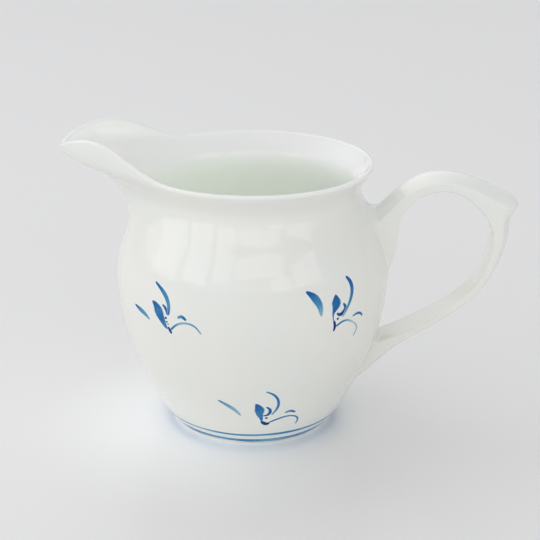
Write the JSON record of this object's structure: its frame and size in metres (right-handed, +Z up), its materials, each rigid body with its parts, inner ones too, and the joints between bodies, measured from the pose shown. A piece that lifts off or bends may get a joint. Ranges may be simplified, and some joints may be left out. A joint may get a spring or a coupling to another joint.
{
  "type": "cream jug",
  "caption": "Bulbous porcelain cream jug with a pulled spout, a looped strap handle with a thumb spur, blue foot bands and scattered blue floral sprays.",
  "frame": {"origin": "centre of the foot ring on the resting plane, on the round body's axis", "axes": "+Z up along the body's axis, +X towards the handle, -X towards the spout"},
  "size_m": [0.1328, 0.08, 0.0878],
  "materials": {
    "porcelain": "clear gloss glaze over white porcelain, unglazed foot ring",
    "slip": "the same porcelain as slip, wiped smooth and glazed over",
    "cobalt_strong": "cobalt blue line under clear glaze",
    "cobalt_pale": "thinner cobalt blue line under clear glaze",
    "cobalt_brush": "hand-brushed cobalt strokes, darker at tips and edges, under clear glaze"
  },
  "bodies": {
    "root": {"jug_body": "porcelain", "handle": "porcelain", "upper_slip_joint": "slip", "lower_slip_joint": "slip", "foot_band_lower": "cobalt_strong", "foot_band_upper": "cobalt_pale", "spray_left": "cobalt_brush", "spray_right": "cobalt_brush", "spray_low": "cobalt_brush", "spray_back_left": "cobalt_brush", "spray_back_right": "cobalt_brush", "spray_back_low": "cobalt_brush"}
  },
  "joints": []
}
